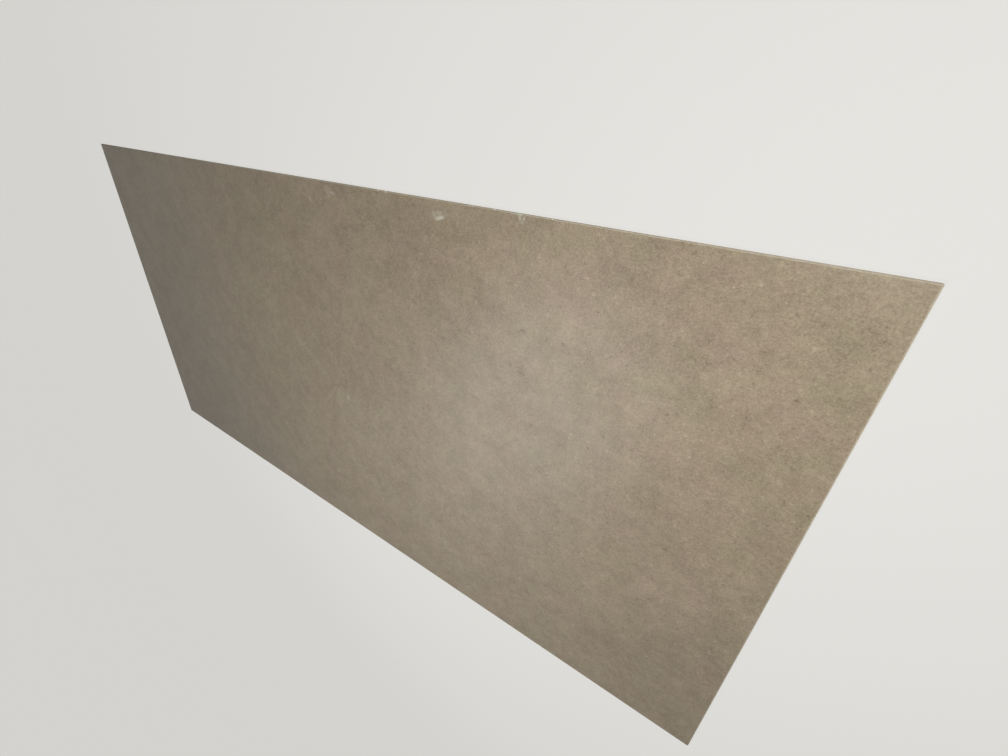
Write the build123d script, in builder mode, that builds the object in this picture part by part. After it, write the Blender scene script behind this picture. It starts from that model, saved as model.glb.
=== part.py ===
import os

from build123d import *

# Hardboard sheet: wood fibre pressed hot into one board, smooth on its face, with four sawn edges.
# It lies flat with the smooth face up.
# Millimetres. The origin is the middle of the underside. X runs along the sheet, Y across it
# and Z up through the smooth face.

# The sheet as sold: eight feet by four feet, a quarter of an inch thick
FOOT = 304.8
sheet_length = 8 * FOOT
sheet_width = 4 * FOOT
sheet_thickness = 6.35

# Wear from handling
corner_radius = 1.5  # the sawn corners, rubbed round as seen from above
face_arris_radius = 1.2  # between the smooth face and the sawn edges
back_arris_radius = 0.6  # between the back and the sawn edges

# Two chips in the face arris of the long edge at +Y, where the pressed skin has flaked off.
# Each is a long shallow scoop with pointed ends.
first_chip_from_end = 945.0  # from the end at +X to the chip's middle
first_chip_length = 9.0
first_chip_depth = 1.9
second_chip_from_end = 968.0
second_chip_length = 7.5
second_chip_depth = 1.7
chips = (
    (first_chip_from_end, first_chip_length, first_chip_depth),
    (second_chip_from_end, second_chip_length, second_chip_depth),
)

with BuildPart() as hardboard_sheet:
    # The board, sawn square
    with BuildSketch() as sawn_outline:
        Rectangle(sheet_length, sheet_width)
        fillet(sawn_outline.vertices(), radius=corner_radius)
    extrude(amount=sheet_thickness)

    # The worn arrises round the face and round the back
    fillet(hardboard_sheet.faces().sort_by(Axis.Z)[-1].edges(), radius=face_arris_radius)
    fillet(hardboard_sheet.faces().sort_by(Axis.Z)[0].edges(), radius=back_arris_radius)

    # The chips: an arc over its chord, turned about the corner line of face and edge
    for from_end, chip_length, chip_depth in chips:
        chip_middle = Vector(sheet_length / 2 - from_end, sheet_width / 2, sheet_thickness)
        with BuildSketch(Plane(origin=chip_middle, x_dir=(1, 0, 0), z_dir=(0, 0, 1))) as scoop:
            with BuildLine():
                ThreePointArc((-chip_length / 2, 0), (0, chip_depth), (chip_length / 2, 0))
                Line((chip_length / 2, 0), (-chip_length / 2, 0))
            make_face()
        revolve(axis=Axis(chip_middle, (1, 0, 0)), mode=Mode.SUBTRACT)

hardboard_sheet.part.label = "hardboard_sheet"

os.makedirs("parts", exist_ok=True)
export_step(hardboard_sheet.part, "parts/hardboard_sheet.step")
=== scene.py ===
# The looks of one hardboard sheet that lies flat with its smooth face up, in a plain studio.
# Metres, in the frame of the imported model: the origin is the middle of the sheet's underside, X runs
# along the sheet, Y across it and Z up through the smooth face.
import math

import bpy
import numpy as np
from bpy.props import FloatProperty, FloatVectorProperty, IntProperty, PointerProperty
from mathutils import Matrix, Vector


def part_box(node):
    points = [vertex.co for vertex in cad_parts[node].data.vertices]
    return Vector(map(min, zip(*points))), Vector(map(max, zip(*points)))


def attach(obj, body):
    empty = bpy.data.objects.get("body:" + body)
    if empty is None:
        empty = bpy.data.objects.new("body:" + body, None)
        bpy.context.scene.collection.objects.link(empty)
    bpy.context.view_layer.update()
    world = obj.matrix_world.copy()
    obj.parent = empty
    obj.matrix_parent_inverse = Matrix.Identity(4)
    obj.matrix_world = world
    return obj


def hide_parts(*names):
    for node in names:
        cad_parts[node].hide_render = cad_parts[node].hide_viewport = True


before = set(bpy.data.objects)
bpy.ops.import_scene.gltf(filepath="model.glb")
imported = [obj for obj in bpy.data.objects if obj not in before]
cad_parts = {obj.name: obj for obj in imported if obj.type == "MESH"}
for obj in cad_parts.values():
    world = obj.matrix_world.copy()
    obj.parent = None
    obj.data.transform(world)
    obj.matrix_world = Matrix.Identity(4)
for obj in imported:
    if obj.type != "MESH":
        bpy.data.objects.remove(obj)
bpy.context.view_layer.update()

bl_info = {
    "name": "Hardboard sheet",
    "version": (1, 0, 0),
    "blender": (4, 5, 0),
    "location": "3D View > Sidebar > Hardboard",
    "description": "Builds a handled hardboard sheet over the packed model, and a plain studio round it",
    "category": "Add Mesh",
}

MM = 0.001

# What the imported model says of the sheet
CAD_NODE = "hardboard_sheet"
BODY = "root"
LOWEST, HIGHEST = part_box(CAD_NODE)
HALF_LENGTH = (HIGHEST.x - LOWEST.x) / 2
HALF_WIDTH = (HIGHEST.y - LOWEST.y) / 2
THICKNESS = HIGHEST.z - LOWEST.z
HALF_SIZES = np.array([HALF_LENGTH, HALF_WIDTH])

# The sheet's four sides in the order of the rim, anticlockwise from above: the angle of each one's
# outward normal, that normal, and the way the rim runs. The chips are in the long side at +Y.
SIDES = 4
SIDE_ANGLES = np.radians([-90.0, 0.0, 90.0, 180.0])
OUTWARD = np.array([[0, -1], [1, 0], [0, 1], [-1, 0]])
ALONG = np.array([[1, 0], [0, 1], [-1, 0], [0, -1]])
CHIPPED_SIDE = 2

# Stations of the rim in each corner's turn, and across each chip or nick. An evenly spaced station gives
# way to one of a chip that is nearer than this share of a step.
CORNER_STATIONS = 7
CHIP_STATIONS = 13
NEAREST_SHARE = 0.3

# Rings of the rim's profile: flat ones on the face and as many on the back, at these distances from the
# arris, ones in each arris, and ones down the sawn edge
FLAT_OFFSETS = np.array([6.0, 3.6, 2.2, 1.2, 0.5])[:, None] * MM
ARRIS_TURN = np.linspace(0, math.pi / 2, 6)[:, None]
EDGE_SHARES = np.linspace(0, 1, 9)[1:-1, None]

# Where the grid inside the rim starts, well clear of the innermost ring, and the angle between two faces
# past which their edge is drawn sharp
GRID_MARGIN = 16 * MM
SHARP_ANGLE = math.radians(35)

# Material slots of the sheet's mesh
FACE_SLOT, EDGE_SLOT, BACK_SLOT = range(3)

# What drifts round the rim is a sum of this many sines. The radii of the arrises and the wander of the
# saw have at most these numbers of waves, and a radius differs from its size by up to this share.
DRIFT_SINES = 7
ARRIS_WAVES = 90
SAW_WAVES = 30
ARRIS_VARIATION = 0.25

# The waves that the press left in the face: how many there are, and their shortest and longest length
PRESS_WAVES = 9
PRESS_WAVE_LENGTHS = (300 * MM, 800 * MM)

# The two chips in the face arris of the long edge at +Y, in millimetres: distance from the end at +X,
# length and depth
CHIPS = ((945, 9, 1.9), (968, 7.5, 1.7))

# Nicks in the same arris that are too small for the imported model, in the same way
EDGE_NICKS = ((533, 5, 0.9), (656, 6, 1.2), (708, 5, 0.9))

# Nicks drawn at random: how likely each side is, the share of a side that they keep to, and how likely the
# face's arris is. Their half lengths and depths are shares of the sheet's nick length and nick depth.
NICK_SIDE_ODDS = (0.33, 0.17, 0.33, 0.17)
NICK_REACH = 0.95
NICK_FACE_ODDS = 0.7
NICK_HALF_LENGTHS = (0.3, 0.9)
NICK_DEPTHS = (0.6, 1.3)

# Broken fibre: the factors between which a chip's radius varies, the power by which points are pushed out
# of it, and the distance from the corner line that counts as on it
RAGGED_FACTORS = (2 / 3, 4 / 3)
PUSH_POWER = 6
ON_THE_LINE = 0.01 * MM

# Marks of handling on the smooth face, each a ragged ellipse. In millimetres and degrees: its middle's
# distance from the end at +X and from the long edge at -Y, its length, its width and how far its length
# turns from X. The last number is how strongly it shows.
SMEARS = (
    (791, 1183.5, 30, 10, 16, 0.90),
    (806, 1187, 21, 10, -42, 0.40),
    (794, 1193, 25, 13, 10, 0.28),
    (775, 1192, 20, 11, 10, 0.18),
    (1142, 1203, 36, 20, 0, 0.22),
    (1127, 1195, 21, 10, 8, 0.52),
    (1141, 1194, 18, 7, 0, 0.32),
    (1217, 1170, 24, 16, 85, 0.24),
    (601, 1212, 16, 7, -66, 0.46),
    (591, 1212, 13, 6, 80, 0.50),
    (595, 1204, 15, 9, -20, 0.24),
    (1167, 586, 20, 16, 80, 0.40),
    (1279, 225, 26, 13, 44, 0.34),
    (1242, 676, 18, 7, 70, 0.25),
    (1068, 591, 24, 9, 84, 0.22),
    (700, 886, 11, 8, 0, 0.25),
    (530, 838, 30, 18, 10, 0.12),
    (1366, 345, 26, 12, 35, 0.12),
    (1366, 162, 24, 12, 35, 0.10),
)
PAINT_TOUCHES = (
    (604, 1221, 27, 12, 6, 0.95),
    (601, 1217, 13, 7, -20, 0.70),
)
SCRATCHES = (
    (437, 787, 9, 8, 0, 0.60),
    (440, 776, 30, 6, 85, 0.42),
    (437, 752, 42, 7, 94, 0.20),
    (436, 722, 40, 4, 90, 0.12),
    (397, 785, 13, 6, 22, 0.55),
    (414, 785, 34, 8, 8, 0.20),
    (596, 535, 52, 4, 94, 0.32),
    (1085, 958, 26, 4, 100, 0.20),
    (985, 888, 22, 4, 20, 0.18),
)
STAINS = (
    (573, 990, 18, 12, -45, 0.42),
    (483, 988, 14, 9, 0, 0.42),
    (572, 903, 20, 14, 0, 0.22),
    (570, 890, 24, 16, 30, 0.22),
    (626, 855, 12, 9, 0, 0.32),
    (531, 973, 12, 9, 0, 0.20),
    (458, 936, 10, 8, 0, 0.24),
    (484, 900, 11, 9, 0, 0.20),
    (559, 956, 10, 5, 80, 0.24),
    (735, 1115, 36, 24, 10, 0.12),
    (1076, 1118, 70, 34, 0, 0.10),
    (236, 1113, 3, 2.5, 0, 0.90),
)

# How deep below the face a mark still shows, for those that run over the arris
MARK_DEPTH = 6 * MM

# Fibre bundles lie in three sets: each one's direction in degrees, and how far its pattern is shifted so
# that it differs from the others'
BUNDLE_SETS = ((15, 0), (74, 3.7), (132, 8.1))

# Factors that the face's colour is multiplied by where it leans to red and where it leans to green
RED_LEAN = (1.026, 0.986, 1.030, 1)
GREEN_LEAN = (0.974, 1.014, 0.970, 1)

# Half the floor's side, the camera's sensor width in millimetres, and the distances that the camera sees
FLOOR_REACH = 60.0
SENSOR_WIDTH = 36.0
NEAREST_SEEN = 0.01
FARTHEST_SEEN = 200.0


def linear(hex_colour):
    """An sRGB hex colour as linear red, green, blue and alpha, by the sRGB curve: a straight line for the
    darkest values and a power of 2.4 above them."""
    srgb = np.array([int(hex_colour[i : i + 2], 16) / 255 for i in (1, 3, 5)])
    light = np.where(srgb <= 0.04045, srgb / 12.92, ((srgb + 0.055) / 1.055) ** 2.4)
    return (*light.tolist(), 1.0)


class HardboardSizes(bpy.types.PropertyGroup):
    """Sizes of the sheet's rim and of the wear on it."""

    corner_radius: FloatProperty(
        name="Corner radius", default=1.5 * MM, unit="LENGTH", subtype="DISTANCE",
        description="How far the sawn corners are rubbed round, seen from above",
    )
    face_arris: FloatProperty(
        name="Face arris", default=1.2 * MM, unit="LENGTH", subtype="DISTANCE",
        description="Radius of the worn arris between the smooth face and the edges",
    )
    back_arris: FloatProperty(
        name="Back arris", default=0.6 * MM, unit="LENGTH", subtype="DISTANCE",
        description="Radius of the worn arris between the back and the edges",
    )
    worn_band: FloatProperty(
        name="Worn band", default=3.0 * MM, unit="LENGTH", subtype="DISTANCE",
        description="How far bare fibre can reach from the arris into the smooth face",
    )
    edge_hollow: FloatProperty(
        name="Edge hollow", default=0.08 * MM, unit="LENGTH", subtype="DISTANCE",
        description="How far the softer core lies behind the two pressed skins at the edges",
    )
    saw_wander: FloatProperty(
        name="Saw wander", default=0.2 * MM, unit="LENGTH", subtype="DISTANCE",
        description="How far the sawn edges wander from a straight line",
    )
    press_wave: FloatProperty(
        name="Press wave", default=0.1 * MM, unit="LENGTH", subtype="DISTANCE",
        description="Depth of the long shallow waves that the press left in the face",
    )
    rim_step: FloatProperty(
        name="Rim step", default=5.0 * MM, unit="LENGTH", subtype="DISTANCE",
        description="Distance between the stations round the rim",
    )
    grid_step: FloatProperty(
        name="Grid step", default=30.0 * MM, unit="LENGTH", subtype="DISTANCE",
        description="Distance between the grid lines of the face and the back",
    )
    nick_length: FloatProperty(
        name="Nick length", default=4.0 * MM, unit="LENGTH", subtype="DISTANCE",
        description="Random nicks are 0.6 to 1.8 times as long as this",
    )
    nick_depth: FloatProperty(
        name="Nick depth", default=0.9 * MM, unit="LENGTH", subtype="DISTANCE",
        description="Random nicks are 0.6 to 1.3 times as deep as this",
    )
    nick_count: IntProperty(
        name="Nicks", default=22, min=0,
        description="Random nicks, less those that would fall in the arris that has the chips",
    )
    seed: IntProperty(
        name="Seed", default=7,
        description="Picks the random nicks, the raggedness of the chips, the wander and the waves",
    )


class HardboardFinish(bpy.types.PropertyGroup):
    """Colours and gloss of the smooth face, the sawn edges and the back."""

    face_pale: FloatVectorProperty(
        name="Face, pale", default=linear("#BCAB91"), size=4, min=0, max=1, subtype="COLOR",
        description="Palest fibre of the smooth face",
    )
    face_dark: FloatVectorProperty(
        name="Face, dark", default=linear("#6E5F4A"), size=4, min=0, max=1, subtype="COLOR",
        description="Darkest fibre of the smooth face",
    )
    fibre_pale: FloatVectorProperty(
        name="Bare fibre, pale", default=linear("#CFC3AC"), size=4, min=0, max=1, subtype="COLOR",
        description="Palest fibre where the pressed skin is gone",
    )
    fibre_dark: FloatVectorProperty(
        name="Bare fibre, dark", default=linear("#9F937C"), size=4, min=0, max=1, subtype="COLOR",
        description="Darkest fibre where the pressed skin is gone",
    )
    fibre_fresh: FloatVectorProperty(
        name="Fresh fibre", default=linear("#E0D7C1"), size=4, min=0, max=1, subtype="COLOR",
        description="Clean fibre in the chips and nicks",
    )
    back_pale: FloatVectorProperty(
        name="Back, pale", default=linear("#94805F"), size=4, min=0, max=1, subtype="COLOR",
        description="Palest fibre of the screened back",
    )
    back_dark: FloatVectorProperty(
        name="Back, dark", default=linear("#5C4B36"), size=4, min=0, max=1, subtype="COLOR",
        description="Darkest fibre of the screened back",
    )
    smear: FloatVectorProperty(
        name="Smear", default=linear("#D8D3C2"), size=4, min=0, max=1, subtype="COLOR",
        description="Whitish dust rubbed into the face",
    )
    paint: FloatVectorProperty(
        name="Paint touch", default=linear("#CACFB2"), size=4, min=0, max=1, subtype="COLOR",
        description="Pale greenish touch of paint",
    )
    stain: FloatVectorProperty(
        name="Stain", default=linear("#4A3D2F"), size=4, min=0, max=1, subtype="COLOR",
        description="Dark specks and stains",
    )
    face_roughness: FloatProperty(
        name="Face roughness", default=0.42, min=0, max=1, description="Roughness of the pressed face"
    )
    edge_roughness: FloatProperty(
        name="Edge roughness", default=0.9, min=0, max=1, description="Roughness of sawn and bare fibre"
    )
    back_roughness: FloatProperty(
        name="Back roughness", default=0.82, min=0, max=1, description="Roughness of the screened back"
    )


class HardboardStage(bpy.types.PropertyGroup):
    """The studio: floor, sky, lamps and camera."""

    floor: FloatVectorProperty(
        name="Floor", default=linear("#E6E5E1"), size=4, min=0, max=1, subtype="COLOR",
        description="Colour of the floor",
    )
    floor_glow: FloatProperty(
        name="Floor glow", default=0.8, min=0, max=1,
        description="How much of the floor's look is its own colour, whatever light falls on it",
    )
    sky_strength: FloatProperty(
        name="Sky", default=0.14, min=0, description="Strength of the plain white sky"
    )
    key_power: FloatProperty(
        name="Key lamp", default=6.2, min=0, unit="POWER",
        description="Power of the key lamp, beyond the corner at +X and +Y",
    )
    key_place: FloatVectorProperty(
        name="Key place", default=(1.75, 1.05, 1.25), subtype="TRANSLATION", unit="LENGTH",
        description="Where the key lamp stands",
    )
    key_aim: FloatVectorProperty(
        name="Key aim", default=(0.75, 0.33, 0.0), subtype="TRANSLATION", unit="LENGTH",
        description="The point that the key lamp faces",
    )
    key_size: FloatProperty(
        name="Key size", default=1.0, min=0.01, unit="LENGTH", subtype="DISTANCE",
        description="Side of the key lamp",
    )
    key_spread: FloatProperty(
        name="Key spread", default=math.radians(90), min=0.1, max=math.pi, subtype="ANGLE",
        description="Angle in which the key lamp shines",
    )
    sheen_power: FloatProperty(
        name="Sheen lamp", default=6.0, min=0, unit="POWER",
        description="Power of the sheen lamp, which the face mirrors towards the camera",
    )
    sheen_place: FloatVectorProperty(
        name="Sheen place", default=(-0.09, -0.98, 1.9), subtype="TRANSLATION", unit="LENGTH",
        description="Where the sheen lamp stands",
    )
    sheen_aim: FloatVectorProperty(
        name="Sheen aim", default=(0.72, 0.27, 0.0), subtype="TRANSLATION", unit="LENGTH",
        description="The point that the sheen lamp faces",
    )
    sheen_size: FloatProperty(
        name="Sheen size", default=1.3, min=0.01, unit="LENGTH", subtype="DISTANCE",
        description="Side of the sheen lamp",
    )
    sheen_spread: FloatProperty(
        name="Sheen spread", default=math.radians(95), min=0.1, max=math.pi, subtype="ANGLE",
        description="Angle in which the sheen lamp shines",
    )
    camera_place: FloatVectorProperty(
        name="Camera", default=(1.0257, 0.7444, 0.7209), subtype="TRANSLATION", unit="LENGTH",
        description="Where the camera stands",
    )
    camera_aim: FloatVectorProperty(
        name="Aim", default=(0.6043, 0.3095, THICKNESS), subtype="TRANSLATION", unit="LENGTH",
        description="The point on the face that the camera looks at",
    )
    camera_roll: FloatProperty(
        name="Roll", default=math.radians(3.755), subtype="ANGLE",
        description="How far the camera is turned about its line of sight",
    )
    focal_length: FloatProperty(
        name="Focal length", default=15.31, min=1, subtype="DISTANCE_CAMERA", unit="CAMERA",
        description="Focal length on a sensor 36 mm wide",
    )
    frame_drop: FloatProperty(
        name="Frame drop", default=0.0228, subtype="FACTOR",
        description="How far the frame is moved down to hold the whole sheet, as a share of its width",
    )


def drift(turns, waves, rng):
    """A smooth random number from -1 to 1 round the rim, where turns runs from 0 to 1.

    The sum of several sines, each with a whole number of waves, at most the given one, and a phase of its
    own, divided by the largest value that it reaches. The whole numbers close it on itself."""
    counts = rng.integers(max(1, waves // 6), waves + 1, DRIFT_SINES)
    phases = rng.uniform(0, 2 * math.pi, DRIFT_SINES)
    total = np.sin(2 * math.pi * np.outer(turns, counts) + phases).sum(1)
    return total / np.abs(total).max()


def press_waves(x, y, depth, rng):
    """How far the face lies below its highest plane at x, y.

    Sines of random lengths in random directions are added up. Half the depth, plus that sum times the
    depth over twice their number, stays between 0 and the depth."""
    angles = rng.uniform(0, math.pi, PRESS_WAVES)
    numbers = 2 * math.pi / rng.uniform(*PRESS_WAVE_LENGTHS, PRESS_WAVES)
    phases = rng.uniform(0, 2 * math.pi, PRESS_WAVES)
    across = np.outer(x, np.cos(angles)) + np.outer(y, np.sin(angles))
    return depth * (0.5 + np.sin(across * numbers + phases).sum(1) / (2 * PRESS_WAVES))


def rim_damage(sizes, rng):
    """The chips and nicks as rows of side, place along it, half length, depth, and 1 for the face's arris
    or 0 for the back's. Further nicks are spread at random along the sides, clear of the corners and of
    the arris that has the chips."""
    chips = [
        (CHIPPED_SIDE, from_end * MM - HALF_LENGTH, length * MM / 2, depth * MM, 1)
        for from_end, length, depth in CHIPS + EDGE_NICKS
    ]
    count = sizes.nick_count
    side = rng.choice(SIDES, count, p=NICK_SIDE_ODDS)
    half_side = np.where(side % 2 == 0, HALF_LENGTH, HALF_WIDTH)
    nicks = np.c_[
        side,
        rng.uniform(-NICK_REACH, NICK_REACH, count) * half_side,
        rng.uniform(*NICK_HALF_LENGTHS, count) * sizes.nick_length,
        rng.uniform(*NICK_DEPTHS, count) * sizes.nick_depth,
        rng.random(count) < NICK_FACE_ODDS,
    ]
    elsewhere = (nicks[:, 0] != CHIPPED_SIDE) | (nicks[:, 4] == 0)
    return np.vstack([chips, nicks[elsewhere]])


def rim_stations(sizes, damage):
    """The stations round the rim: shares of the core rectangle's half sizes, normals, and places in the
    round trip, which counts the sides from 0 to 4.

    The rim is a core rectangle, smaller than the sheet by the corner radius, plus that radius along the
    outward normal. Along a side the rectangle's point moves and the normal stands still. At a corner the
    point stands still and the normal turns. Stations are evenly spaced along a side, with more across
    each chip or nick."""
    turn = np.linspace(0, math.pi / 2, CORNER_STATIONS)
    shares, angles, trip = [], [], []
    for side in range(SIDES):
        half = abs(ALONG[side] @ HALF_SIZES) - sizes.corner_radius
        even = np.linspace(-half, half, round(2 * half / sizes.rim_step) + 1)[1:-1]
        hurt = damage[damage[:, 0] == side]
        close = (hurt[:, 1, None] + hurt[:, 2, None] * np.linspace(-1, 1, CHIP_STATIONS)).ravel()
        clear = np.abs(even[:, None] - close).min(1, initial=np.inf) > NEAREST_SHARE * sizes.rim_step
        places = np.sort(np.r_[even[clear], close]) / half
        corner = np.tile(OUTWARD[side] + ALONG[side], (CORNER_STATIONS, 1))
        shares += [OUTWARD[side] + places[:, None] * ALONG[side], corner]
        angles += [np.full(len(places), SIDE_ANGLES[side]), SIDE_ANGLES[side] + turn]
        trip += [side + (places + 1) / 2, np.full(CORNER_STATIONS, side + 1.0)]
    angles = np.concatenate(angles)
    return np.vstack(shares), np.c_[np.cos(angles), np.sin(angles)], np.concatenate(trip)


def rim_profile(face_arris, back_arris, hollow):
    """Inset from the sawn edge and depth below the face, one row for each ring from the face round to the
    back and one column for each station.

    Flat rings lie at fixed offsets inside each arris. Each arris is a quarter circle of the station's own
    radius. Between them the edge is hollow by a half wave of a sine."""
    wall = THICKNESS - face_arris - back_arris
    flat = np.zeros((len(FLAT_OFFSETS), len(wall)))
    inset = [
        face_arris + FLAT_OFFSETS,
        face_arris * (1 - np.sin(ARRIS_TURN)),
        hollow * np.sin(math.pi * EDGE_SHARES) * np.ones_like(wall),
        back_arris * (1 - np.cos(ARRIS_TURN)),
        back_arris + FLAT_OFFSETS[::-1],
    ]
    depth = [
        flat,
        face_arris * (1 - np.cos(ARRIS_TURN)),
        face_arris + EDGE_SHARES * wall,
        THICKNESS - back_arris * (1 - np.sin(ARRIS_TURN)),
        THICKNESS + flat,
    ]
    return np.vstack(inset), np.vstack(depth)


def scoop(inset, depth, outline, damage, rng):
    """Inset and depth after the chips and nicks, and the factor that pushed each point, at least 1.

    A chip is round about the sharp corner line of face and edge, and pointed at its ends: at a distance
    from its middle of t half lengths, its radius is its depth times one less t squared. A point of the
    profile is pushed straight away from the corner line, to the sixth root of its distance and the radius
    each to the sixth power, added up: points inside come to lie just outside the radius, and none meet.
    The radius varies by up to a third, and by less between neighbours, as broken fibre does: each
    station's random factor counts half and its two neighbours' count a quarter each."""
    pushed = np.ones_like(inset)
    ragged = rng.uniform(*RAGGED_FACTORS, len(outline))
    ragged = (np.roll(ragged, 1) + 2 * ragged + np.roll(ragged, -1)) / 4
    for in_face in (0, 1):
        rows = damage[damage[:, 4] == in_face]
        side = rows[:, 0].astype(int)
        middles = OUTWARD[side] * HALF_SIZES + ALONG[side] * rows[:, 1, None]
        away = np.linalg.norm(outline[:, None] - middles, axis=2) / rows[:, 2]
        radius = ragged * (rows[:, 3] * (1 - away**2)).max(1, initial=0)
        below = depth if in_face else THICKNESS - depth
        distance = np.maximum(np.hypot(inset, below), ON_THE_LINE)
        push = (1 + (radius / distance) ** PUSH_POWER) ** (1 / PUSH_POWER)
        inset = inset * push
        below = below * push
        depth = below if in_face else THICKNESS - below
        pushed = np.maximum(pushed, push)
    return inset, np.clip(depth, 0, THICKNESS), pushed


def worn_rim(sizes, rng):
    """The rim's points, one row for each ring and one column for each station: x and y, depth below the
    face, how bare the fibre is, and each station's place in the round trip.

    The profile is carried round the rim: its inset narrows the core rectangle, and the wander of the saw
    adds to the inset. Arrises, wander and chips differ from station to station. The fibre is bare by 1 at
    the arris and by less and less over the worn band. It is bare by 2 where a chip or nick pushed the
    profile by a fiftieth or more, which is in it and a little round it, where the skin has flaked off."""
    damage = rim_damage(sizes, rng)
    shares, normals, trip = rim_stations(sizes, damage)
    radius = sizes.corner_radius
    outline = shares * (HALF_SIZES - radius) + normals * radius
    steps = np.linalg.norm(np.roll(outline, -1, 0) - outline, axis=1)
    turns = (np.cumsum(steps) - steps) / steps.sum()

    face_arris = sizes.face_arris * (1 + ARRIS_VARIATION * drift(turns, ARRIS_WAVES, rng))
    back_arris = sizes.back_arris * (1 + ARRIS_VARIATION * drift(turns, ARRIS_WAVES, rng))
    inset, depth = rim_profile(face_arris, back_arris, sizes.edge_hollow)
    inset, depth, pushed = scoop(inset, depth, outline, damage, rng)
    arris = np.where(depth < THICKNESS / 2, face_arris, back_arris)
    bare = np.clip(1 - (inset - arris) / sizes.worn_band, 0, 1)
    bare = np.maximum(bare, np.clip(100 * (pushed - 1), 0, 2))
    inset = inset + sizes.saw_wander * (0.5 + 0.5 * drift(turns, SAW_WAVES, rng))
    rim = shares * (HALF_SIZES - radius - inset[..., None]) + normals * radius
    return rim, depth, bare, trip


def grid_inside(step):
    """The points of a flat grid that fills the rim up to the margin, and its numbers of cells along X and
    along Y: the lengths over the step, rounded."""
    cells = np.rint((HALF_SIZES - GRID_MARGIN) * 2 / step).astype(int)
    lines = [
        np.linspace(-half + GRID_MARGIN, half - GRID_MARGIN, count + 1)
        for half, count in zip(HALF_SIZES, cells)
    ]
    return np.stack(np.meshgrid(*lines), -1), cells


def stitch(ring, trip, border, cells):
    """Triangles that join a fine ring to the coarse border inside it, both anticlockwise.

    Each edge of the ring gets the border point that is nearest to it in the round trip, and each edge of
    the border gets the ring point at which the nearest one changes."""
    following = np.roll(trip, -1)
    middle = (trip + following + SIDES * (following < trip)) / 2 % SIDES
    side = middle.astype(int)
    starts = np.cumsum(cells) - cells
    nearest = (starts[side] + np.rint((middle - side) * cells[side]).astype(int)) % len(border)
    before = np.roll(nearest, 1)
    fans = np.c_[ring, np.roll(ring, -1), border[nearest]]
    gaps = np.c_[border[before], ring, border[nearest]][before != nearest]
    return np.vstack([fans, gaps])


def sheet_faces(rim_at, face_at, back_at, trip, cells):
    """Arrays of faces, each face a row of its corners, and the material slot of every face, from the
    numbers of the points in the rim and in the two grids.

    Four neighbours make a face in the rim and in a grid. The back's are turned over, to face down."""
    following = np.roll(rim_at, -1, 1)
    bands = np.stack([rim_at[:-1], rim_at[1:], following[1:], following[:-1]], -1)
    flat = len(FLAT_OFFSETS)
    edge = len(bands) - 2 * flat
    stations = rim_at.shape[1]
    faces = [bands.reshape(-1, 4)]
    slots = [np.repeat([FACE_SLOT, EDGE_SLOT, BACK_SLOT], np.array([flat, edge, flat]) * stations)]
    for at, ring, way, slot in ((face_at, rim_at[0], 1, FACE_SLOT), (back_at, rim_at[-1], -1, BACK_SLOT)):
        border = np.concatenate([at[0, :-1], at[:-1, -1], at[-1, :0:-1], at[:0:-1, 0]])
        inner = np.stack([at[:-1, :-1], at[:-1, 1:], at[1:, 1:], at[1:, :-1]], -1).reshape(-1, 4)
        joined = stitch(ring, trip, border, np.tile(cells, 2))
        faces += [inner[:, ::way], joined[:, ::way]]
        slots += [np.full(len(inner) + len(joined), slot)]
    return faces, np.concatenate(slots)


def sheet_mesh(sizes):
    """The sheet as one closed mesh: the worn rim, and a coarse grid inside it on the face and on the back.
    Its attribute bare_fibre says how bare the fibre is, and is 0 on the grids.

    Each point's height above the back is lowered by the press's waves in proportion, so the face gets all
    of them and the back stays flat."""
    rng = np.random.default_rng(sizes.seed)
    rim, depth, bare, trip = worn_rim(sizes, rng)
    grid, cells = grid_inside(sizes.grid_step)
    count = grid[..., 0].size
    x, y = np.vstack([rim.reshape(-1, 2), np.tile(grid.reshape(-1, 2), (2, 1))]).T
    below = np.r_[depth.ravel(), np.zeros(count), np.full(count, THICKNESS)]
    z = (THICKNESS - below) * (1 - press_waves(x, y, sizes.press_wave, rng) / THICKNESS)

    rim_at = np.arange(depth.size).reshape(depth.shape)
    face_at = depth.size + np.arange(count).reshape(grid.shape[:2])
    faces, slots = sheet_faces(rim_at, face_at, face_at + count, trip, cells)
    mesh = bpy.data.meshes.new("worn_hardboard_sheet")
    mesh.from_pydata(np.c_[x, y, z].tolist(), [], [row for part in faces for row in part.tolist()])
    mesh.polygons.foreach_set("material_index", slots.astype(np.int32))
    mesh.shade_smooth()
    mesh.set_sharp_from_angle(angle=SHARP_ANGLE)
    worn = mesh.attributes.new("bare_fibre", "FLOAT", "POINT")
    worn.data.foreach_set("value", np.r_[bare.ravel(), np.zeros(2 * count)].astype(np.float32))
    return mesh


def add_node(tree, kind, inputs=None, out=0, **settings):
    """Adds a shader node and gives back one of its outputs. inputs gives sockets, by name or number, a
    value or the output that feeds them. settings are the node's own properties."""
    node = tree.nodes.new("ShaderNode" + kind)
    for name, value in settings.items():
        setattr(node, name, value)
    for socket, value in (inputs or {}).items():
        if isinstance(value, bpy.types.NodeSocket):
            tree.links.new(value, node.inputs[socket])
        else:
            node.inputs[socket].default_value = value
    return node.outputs[out] if node.outputs else node


def layered(tree, place, layers, middle=0.5):
    """A number about the middle that varies over the surface: noise of several grain sizes, each given as
    millimetres and as how far it can move the sum."""
    total = middle - sum(amount for _, amount in layers) / 2
    for grain, amount in layers:
        noise = add_node(tree, "TexNoise", {"Vector": place, "Scale": 1 / (grain * MM), "Detail": 2.0})
        total = add_node(tree, "Math", {0: noise, 1: amount, 2: total}, operation="MULTIPLY_ADD")
    return total


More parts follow.
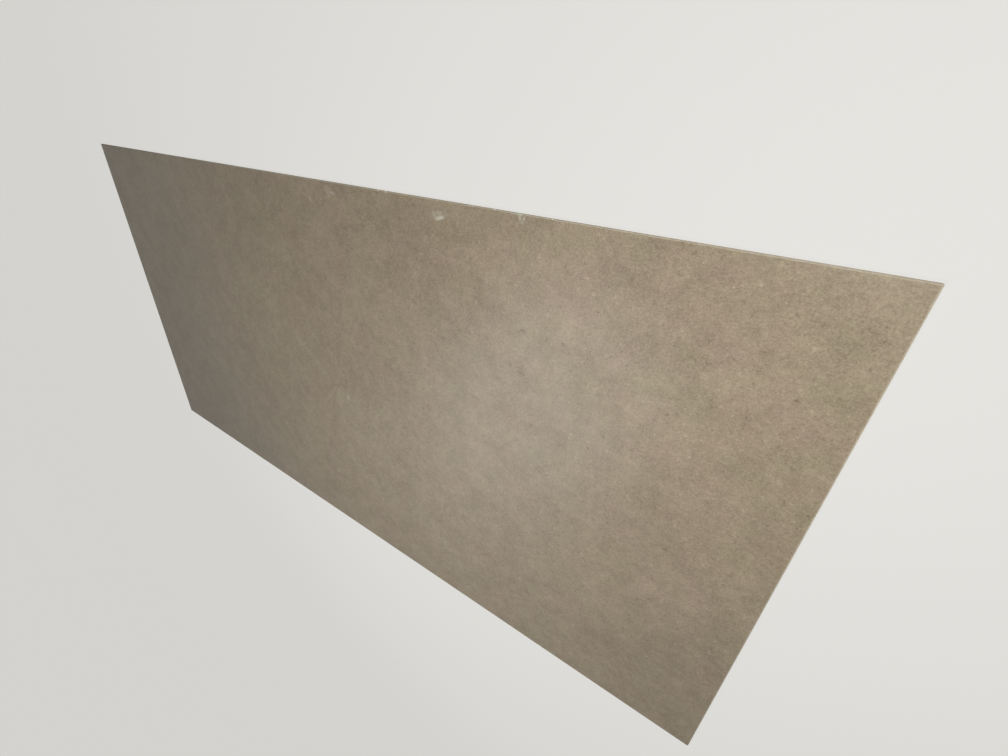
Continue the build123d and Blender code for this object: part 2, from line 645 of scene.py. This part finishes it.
def fibres(tree, place, length, width, share):
    """Fibre bundles lying in the surface, of that length and width in millimetres: noise stretched in each
    set's direction, cut off so that about the given share of it shows."""
    # Hardly any of a noise lies above 0.70, and the cut comes down from there as the share grows
    cut = 0.70 - 0.5 * share
    soft_rim = 0.12
    total = 0.0
    for angle, shift in BUNDLE_SETS:
        lain = add_node(
            tree, "Mapping",
            {"Vector": place, "Location": (shift, shift, shift), "Rotation": (0, 0, math.radians(angle)),
             "Scale": (length * MM, width * MM, width * MM)},
            vector_type="TEXTURE",
        )
        noise = add_node(tree, "TexNoise", {"Vector": lain, "Scale": 1.0, "Detail": 1.0})
        shown = add_node(
            tree, "MapRange", {"Value": noise, "From Min": cut, "From Max": cut + soft_rim},
            interpolation_type="SMOOTHSTEP",
        )
        total = add_node(tree, "Math", {0: total, 1: shown}, operation="MAXIMUM")
    return total


def handled(tree, place):
    """What marks of handling are drawn with: the place, bent by up to 3 mm so that no mark is a clean
    ellipse, and a ragged noise for their rims."""
    bend = 3 * MM
    bent = add_node(tree, "TexNoise", {"Vector": place, "Scale": 1 / (22 * MM), "Detail": 1.0}, out=1)
    bent = add_node(tree, "VectorMath", {0: bent, 1: (0.5, 0.5, 0.5)}, operation="SUBTRACT")
    bent = add_node(
        tree, "VectorMath", {0: bent, 1: (2 * bend, 2 * bend, 0), 2: place}, operation="MULTIPLY_ADD"
    )
    return bent, layered(tree, place, ((5, 1.0), (1.6, 0.5)), 0.0)


def marks_shown(tree, place, ragged, marks):
    """How strongly the marks of one kind show, each by the distance from its middle in half lengths and
    half widths, with the ragged noise added: in full up to 0.15, fading out to nothing at 1.25. Noises
    of 5 and 2 mm make it patchy inside."""
    total = 0.0
    for from_end, from_front, length, width, angle, strength in marks:
        spot = add_node(
            tree, "Mapping",
            {"Vector": place,
             "Location": (HALF_LENGTH - from_end * MM, from_front * MM - HALF_WIDTH, THICKNESS),
             "Rotation": (0, 0, math.radians(angle)),
             "Scale": (length * MM / 2, width * MM / 2, MARK_DEPTH)},
            vector_type="TEXTURE",
        )
        reach = add_node(tree, "VectorMath", {0: spot}, out=1, operation="LENGTH")
        reach = add_node(tree, "Math", {0: reach, 1: ragged}, operation="ADD")
        shown = add_node(
            tree, "MapRange", {"Value": reach, "From Min": 1.25, "From Max": 0.15, "To Max": strength},
            interpolation_type="SMOOTHSTEP",
        )
        total = add_node(tree, "Math", {0: total, 1: shown}, operation="MAXIMUM")
    patchy = layered(tree, place, ((5, 2.4), (2, 1.2)), 0.9)
    return add_node(tree, "Math", {0: total, 1: patchy}, operation="MULTIPLY", use_clamp=True)


def new_material(name):
    """An empty node material and its tree."""
    material = bpy.data.materials.new(name)
    material.use_nodes = True
    material.node_tree.nodes.clear()
    return material, material.node_tree


def finished(tree, colour, roughness, height):
    """Ends a material: one shader, its relief in metres and the output."""
    relief = add_node(tree, "Bump", {"Strength": 1.0, "Distance": 1.0, "Height": height})
    shader = add_node(
        tree, "BsdfPrincipled", {"Base Color": colour, "Roughness": roughness, "Normal": relief}
    )
    add_node(tree, "OutputMaterial", {"Surface": shader})


def bare_fibre(tree, place, finish):
    """Colour and relief of fibre whose pressed skin is gone, and the attribute that says where. The fibre
    is pale, matt and fluffy, in layers that lie parallel to the faces, crossed by the saw's teeth at the
    edges, and cleaner in the chips and nicks.

    The layers have their real thickness and the teeth's marks their real pitch. The marks run from face
    to face."""
    layer = 0.35 * MM
    layer_length = 14 * MM
    tooth = 1.1 * MM
    cut_length = 9 * MM
    layers = add_node(
        tree, "Mapping", {"Vector": place, "Scale": (layer_length, layer_length, layer)},
        vector_type="TEXTURE",
    )
    strata = add_node(tree, "TexNoise", {"Vector": layers, "Scale": 1.0, "Detail": 3.0})
    cuts = add_node(
        tree, "Mapping", {"Vector": place, "Scale": (tooth, tooth, cut_length)}, vector_type="TEXTURE"
    )
    teeth = add_node(tree, "TexNoise", {"Vector": cuts, "Scale": 1.0, "Detail": 2.0})
    tufts = layered(tree, place, ((0.9, 0.5), (4.0, 0.4), (40.0, 0.4)))
    share = add_node(tree, "Math", {0: strata, 1: 0.8, 2: -0.4}, operation="MULTIPLY_ADD")
    share = add_node(tree, "Math", {0: share, 1: tufts}, operation="ADD", use_clamp=True)
    colour = add_node(
        tree, "Mix", {0: share, 6: finish.fibre_dark, 7: finish.fibre_pale}, out=2, data_type="RGBA"
    )

    # Clean fibre, where the attribute is 2 and not 1, with the tufts making its rim uneven
    bare = add_node(tree, "Attribute", out=2, attribute_name="bare_fibre")
    fresh = add_node(tree, "Math", {0: tufts, 1: 1.6, 2: bare}, operation="MULTIPLY_ADD")
    fresh = add_node(tree, "MapRange", {"Value": fresh, "From Min": 2.1, "From Max": 2.7})
    colour = add_node(tree, "Mix", {0: fresh, 6: colour, 7: finish.fibre_fresh}, out=2, data_type="RGBA")

    # Relief of 0.12 mm from the teeth and 0.10 mm from the layers and tufts, about the surface as it is
    rough = add_node(tree, "Math", {0: teeth, 1: 0.12 * MM, 2: -0.11 * MM}, operation="MULTIPLY_ADD")
    rough = add_node(tree, "Math", {0: share, 1: 0.10 * MM, 2: rough}, operation="MULTIPLY_ADD")
    return colour, rough, bare


def skin_colour(tree, place, finish):
    """The pressed skin's own colour: between its darkest and its palest fibre in broad soft clouds and a
    fine mottle, with a few stronger flecks, and leaning to red or to green from patch to patch."""
    tone = layered(tree, place, ((320, 0.32), (63, 0.38), (18, 0.36), (7, 0.40), (3, 0.80)))
    # The third power of a noise about 0 is flat nearly everywhere, and leaves flecks where it is strong
    for grain, amount in ((10, 8.0), (5, 7.0)):
        noise = add_node(tree, "TexNoise", {"Vector": place, "Scale": 1 / (grain * MM), "Detail": 1.0})
        flecks = add_node(tree, "Math", {0: noise, 1: 0.5}, operation="SUBTRACT")
        flecks = add_node(tree, "Math", {0: flecks, 1: 3.0}, operation="POWER")
        tone = add_node(
            tree, "Math", {0: flecks, 1: amount, 2: tone}, operation="MULTIPLY_ADD", use_clamp=True
        )
    colour = add_node(
        tree, "Mix", {0: tone, 6: finish.face_dark, 7: finish.face_pale}, out=2, data_type="RGBA"
    )
    lean = layered(tree, place, ((140, 1.5), (55, 1.5), (14, 0.8)))
    lean = add_node(tree, "Mix", {0: lean, 6: RED_LEAN, 7: GREEN_LEAN}, out=2, data_type="RGBA")
    return add_node(
        tree, "Mix", {0: 1.0, 6: colour, 7: lean}, out=2, data_type="RGBA", blend_type="MULTIPLY"
    )


def pressed_face(finish):
    """Hardboard, hot-pressed against a polished plate: a dense satin skin in which flattened fibre bundles,
    paler and darker, show as a fine mottle under broad soft clouds. Handling has left smears, scratches
    and specks on it, and has rubbed it through to pale fibre along the arrises."""
    material, tree = new_material("hardboard_pressed_smooth")
    place = add_node(tree, "TexCoord", out=3)
    colour = skin_colour(tree, place, finish)

    # Single fibres, some hundredths of a millimetre wide, are too fine to show, so the bundles are drawn
    # 0.4 to 1.3 mm wide. The darker and the fine ones are taken from another place in the noise.
    pale = fibres(tree, place, length=4.6, width=0.9, share=0.12)
    elsewhere = add_node(tree, "VectorMath", {0: place, 1: (5, 5, 5)}, operation="ADD")
    dark = fibres(tree, elsewhere, length=4.0, width=1.3, share=0.08)
    fine = fibres(tree, elsewhere, length=3.2, width=0.4, share=0.20)
    bent, ragged = handled(tree, place)
    smears = marks_shown(tree, bent, ragged, SMEARS)
    paint = marks_shown(tree, bent, ragged, PAINT_TOUCHES)
    scratches = marks_shown(tree, bent, ragged, SCRATCHES)
    stains = marks_shown(tree, bent, ragged, STAINS)
    for shown, strength, laid in (
        (fine, 0.14, finish.fibre_pale),
        (pale, 0.28, finish.fibre_pale),
        (dark, 0.18, finish.stain),
        (stains, 1.0, finish.stain),
        (scratches, 1.0, finish.fibre_pale),
        (smears, 1.0, finish.smear),
    ):
        share = add_node(tree, "Math", {0: shown, 1: strength}, operation="MULTIPLY")
        colour = add_node(tree, "Mix", {0: share, 6: colour, 7: laid}, out=2, data_type="RGBA")

    # The skin is worn through where the attribute is high, with a ragged rim
    fibre, fluff, bare = bare_fibre(tree, place, finish)
    bare = add_node(tree, "Math", {0: ragged, 1: 0.5, 2: bare}, operation="MULTIPLY_ADD")
    bare = add_node(
        tree, "MapRange", {"Value": bare, "From Min": 0.55, "From Max": 0.75},
        interpolation_type="SMOOTHSTEP",
    )
    colour = add_node(tree, "Mix", {0: bare, 6: colour, 7: fibre}, out=2, data_type="RGBA")
    colour = add_node(tree, "Mix", {0: paint, 6: colour, 7: finish.paint}, out=2, data_type="RGBA")

    # The gloss is patchy at the size of the clouds and of the mottle, and dust and bare fibre are matt
    patchiness = 0.1
    low = finish.face_roughness - patchiness
    high = finish.face_roughness + patchiness
    roughness = layered(tree, place, ((120, 0.6), (9, 0.6)))
    roughness = add_node(tree, "MapRange", {"Value": roughness, "To Min": low, "To Max": high})
    matt = add_node(tree, "Math", {0: smears, 1: bare}, operation="MAXIMUM")
    matt = add_node(tree, "Math", {0: matt, 1: scratches}, operation="MAXIMUM")
    roughness = add_node(tree, "Mix", {0: matt, 2: roughness, 3: finish.edge_roughness}, data_type="FLOAT")

    # The plate's print, some hundredths of a millimetre deep, and the fibres that show through it
    print_depth = layered(tree, place, ((2.5, 0.02 * MM), (9, 0.03 * MM)), 0.0)
    height = add_node(tree, "Math", {0: pale, 1: 0.01 * MM, 2: print_depth}, operation="MULTIPLY_ADD")
    height = add_node(tree, "Mix", {0: bare, 2: height, 3: fluff}, data_type="FLOAT")
    finished(tree, colour, roughness, height)
    return material


def sawn_edge(finish):
    """Hardboard cut by a saw: pale fluffy fibre in thin layers, with no gloss at all, and with the touch of
    paint where it runs over the arris."""
    material, tree = new_material("hardboard_sawn_edge")
    place = add_node(tree, "TexCoord", out=3)
    colour, rough, _ = bare_fibre(tree, place, finish)
    paint = marks_shown(tree, *handled(tree, place), PAINT_TOUCHES)
    colour = add_node(tree, "Mix", {0: paint, 6: colour, 7: finish.paint}, out=2, data_type="RGBA")
    finished(tree, colour, finish.edge_roughness, rough)
    return material


def screened_back(finish):
    """Hardboard pressed against a woven wire screen: darker than the face, matt, and covered with the
    screen's print, small pillows between crossing grooves. The real pitch is about 1.6 mm. It is drawn at
    3 mm, so that it shows at arm's length."""
    material, tree = new_material("hardboard_screened_back")
    place = add_node(tree, "TexCoord", out=3)
    pitch = 3 * MM
    wander = 3 * MM
    wobble = add_node(tree, "TexNoise", {"Vector": place, "Scale": 1 / (60 * MM), "Detail": 1.0}, out=1)
    warped = add_node(
        tree, "VectorMath", {0: wobble, 1: (wander, wander, 0), 2: place}, operation="MULTIPLY_ADD"
    )
    turns = add_node(tree, "VectorMath", {0: warped, "Scale": math.pi / pitch}, operation="SCALE")

    # A pillow's height is the root of the sine along X times the sine along Y, both without their signs
    waves = add_node(tree, "VectorMath", {0: turns}, operation="SINE")
    waves = add_node(tree, "VectorMath", {0: waves}, operation="ABSOLUTE")
    across = add_node(tree, "SeparateXYZ", {0: waves})
    along = across.node.outputs[1]
    pillows = add_node(tree, "Math", {0: across, 1: along}, operation="MULTIPLY")
    pillows = add_node(tree, "Math", {0: pillows, 1: 0.5}, operation="POWER")
    tone = layered(tree, place, ((220, 0.35), (45, 0.30), (9, 0.35), (2.5, 0.35)))
    tone = add_node(tree, "Math", {0: pillows, 1: 0.35, 2: tone}, operation="MULTIPLY_ADD")
    tone = add_node(tree, "Math", {0: tone, 1: 0.2}, operation="SUBTRACT", use_clamp=True)
    colour = add_node(
        tree, "Mix", {0: tone, 6: finish.back_dark, 7: finish.back_pale}, out=2, data_type="RGBA"
    )
    fibre, fluff, bare = bare_fibre(tree, place, finish)
    bare = add_node(
        tree, "MapRange", {"Value": bare, "From Min": 0.6, "From Max": 0.95},
        interpolation_type="SMOOTHSTEP",
    )
    colour = add_node(tree, "Mix", {0: bare, 6: colour, 7: fibre}, out=2, data_type="RGBA")
    height = add_node(tree, "Math", {0: pillows, 1: 0.25 * MM, 2: -0.15 * MM}, operation="MULTIPLY_ADD")
    height = add_node(tree, "Mix", {0: bare, 2: height, 3: fluff}, data_type="FLOAT")
    finished(tree, colour, finish.back_roughness, height)
    return material


class HARDBOARD_OT_sheet(bpy.types.Operator):
    """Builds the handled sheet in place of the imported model's plain one"""

    bl_idname = "hardboard.build_sheet"
    bl_label = "Hardboard sheet"

    def execute(self, context):
        scene = context.scene
        mesh = sheet_mesh(scene.hardboard_sizes)
        for finish in (pressed_face, sawn_edge, screened_back):
            mesh.materials.append(finish(scene.hardboard_finish))
        sheet = bpy.data.objects.new("worn_hardboard_sheet", mesh)
        scene.collection.objects.link(sheet)
        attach(sheet, BODY)
        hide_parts(CAD_NODE)
        return {"FINISHED"}


def shown_plain(tree):
    """1 for rays that see the floor and the backdrop plain: from the camera, mirrored or let through."""
    path = add_node(tree, "LightPath")
    shown = path
    for kind in ("Is Glossy Ray", "Is Transmission Ray"):
        shown = add_node(tree, "Math", {0: shown, 1: path.node.outputs[kind]}, operation="MAXIMUM")
    return shown


def floor_plane(stage):
    """A plain pale floor under the underside, so large that it ends at the horizon. The camera and what
    mirrors it see its light and shade mixed with its plain colour, which keeps it pale far from the lamps.
    Matt surfaces get no light from it but what falls on it."""
    reach = FLOOR_REACH
    mesh = bpy.data.meshes.new("floor")
    corners = [(-reach, -reach, 0), (reach, -reach, 0), (reach, reach, 0), (-reach, reach, 0)]
    mesh.from_pydata(corners, [], [(0, 1, 2, 3)])
    material, tree = new_material("studio_floor")
    share = add_node(tree, "Math", {0: shown_plain(tree), 1: stage.floor_glow}, operation="MULTIPLY")
    paint = add_node(tree, "BsdfDiffuse", {"Color": stage.floor})
    glow = add_node(tree, "Emission", {"Color": stage.floor, "Strength": 1.0})
    surface = add_node(tree, "MixShader", {0: share, 1: paint, 2: glow})
    add_node(tree, "OutputMaterial", {"Surface": surface})
    mesh.materials.append(material)
    floor = bpy.data.objects.new("floor", mesh)
    bpy.context.scene.collection.objects.link(floor)


def sky(stage):
    """A plain white sky that lights evenly, and that the camera sees as a pale backdrop. The backdrop looks
    as the floor does far from the lamps, where only the sky lights it, so no horizon shows."""
    world = bpy.data.worlds.new("studio")
    world.use_nodes = True
    tree = world.node_tree
    tree.nodes.clear()
    light = add_node(tree, "Background", {"Color": (1, 1, 1, 1), "Strength": stage.sky_strength})
    far_floor = stage.floor_glow + (1 - stage.floor_glow) * stage.sky_strength
    backdrop = add_node(tree, "Background", {"Color": stage.floor, "Strength": far_floor})
    mixed = add_node(tree, "MixShader", {0: shown_plain(tree), 1: light, 2: backdrop})
    add_node(tree, "OutputWorld", {"Surface": mixed})
    bpy.context.scene.world = world


def softbox(name, place, aim, size, spread, power):
    """A square lamp that stands at place, faces aim and isn't seen by the camera. It shines in a cone as
    wide as its spread, and fades towards the cone's rim."""
    data = bpy.data.lights.new(name, "AREA")
    data.shape = "SQUARE"
    data.size = size
    data.spread = spread
    data.energy = power
    lamp = bpy.data.objects.new(name, data)
    lamp.location = place
    lamp.rotation_euler = (Vector(aim) - Vector(place)).to_track_quat("-Z", "Y").to_euler()
    lamp.visible_camera = False
    bpy.context.scene.collection.objects.link(lamp)


def camera(stage):
    """The camera, aimed with the sheet's Y axis upwards in its picture and then rolled."""
    data = bpy.data.cameras.new("camera")
    data.sensor_width = SENSOR_WIDTH
    data.lens = stage.focal_length
    data.shift_y = -stage.frame_drop
    data.clip_start = NEAREST_SEEN
    data.clip_end = FARTHEST_SEEN
    forward = (Vector(stage.camera_aim) - Vector(stage.camera_place)).normalized()
    right = forward.cross(Vector((0, 1, 0))).normalized()
    turned = Matrix((right, right.cross(forward), -forward)).transposed()
    turned = turned @ Matrix.Rotation(stage.camera_roll, 3, "Z")
    seen_from = bpy.data.objects.new("camera", data)
    seen_from.location = stage.camera_place
    seen_from.rotation_euler = turned.to_euler()
    bpy.context.scene.collection.objects.link(seen_from)
    bpy.context.scene.camera = seen_from


class HARDBOARD_OT_stage(bpy.types.Operator):
    """Sets up the floor, the sky, the lamps and the camera"""

    bl_idname = "hardboard.build_stage"
    bl_label = "Studio"

    def execute(self, context):
        stage = context.scene.hardboard_stage
        floor_plane(stage)
        sky(stage)
        softbox(
            "key", stage.key_place, stage.key_aim,
            stage.key_size, stage.key_spread, stage.key_power,
        )
        softbox(
            "sheen", stage.sheen_place, stage.sheen_aim,
            stage.sheen_size, stage.sheen_spread, stage.sheen_power,
        )
        camera(stage)
        context.scene.view_settings.view_transform = "Standard"
        return {"FINISHED"}


class HARDBOARD_PT_sidebar(bpy.types.Panel):
    """Lists what the add-on builds, with the sizes and colours that it builds from"""

    bl_idname = "HARDBOARD_PT_sidebar"
    bl_label = "Hardboard sheet"
    bl_space_type = "VIEW_3D"
    bl_region_type = "UI"
    bl_category = "Hardboard"

    def draw(self, context):
        scene = context.scene
        for groups, operator in (
            ((scene.hardboard_sizes, scene.hardboard_finish), HARDBOARD_OT_sheet),
            ((scene.hardboard_stage,), HARDBOARD_OT_stage),
        ):
            box = self.layout.box()
            for group in groups:
                for name in group.bl_rna.properties.keys():
                    if name not in ("rna_type", "name"):
                        box.prop(group, name)
            box.operator(operator.bl_idname)


CLASSES = (
    HardboardSizes,
    HardboardFinish,
    HardboardStage,
    HARDBOARD_OT_sheet,
    HARDBOARD_OT_stage,
    HARDBOARD_PT_sidebar,
)


def register():
    """Adds the classes, and the three groups of values as properties of a scene."""
    for made in CLASSES:
        bpy.utils.register_class(made)
    bpy.types.Scene.hardboard_sizes = PointerProperty(type=HardboardSizes)
    bpy.types.Scene.hardboard_finish = PointerProperty(type=HardboardFinish)
    bpy.types.Scene.hardboard_stage = PointerProperty(type=HardboardStage)


def unregister():
    """Takes out what register adds, the last of it first."""
    del bpy.types.Scene.hardboard_stage
    del bpy.types.Scene.hardboard_finish
    del bpy.types.Scene.hardboard_sizes
    for made in reversed(CLASSES):
        bpy.utils.unregister_class(made)


def main():
    """Builds the sheet and the stage."""
    register()
    bpy.ops.hardboard.build_sheet()
    bpy.ops.hardboard.build_stage()


if __name__ == "__main__":
    main()
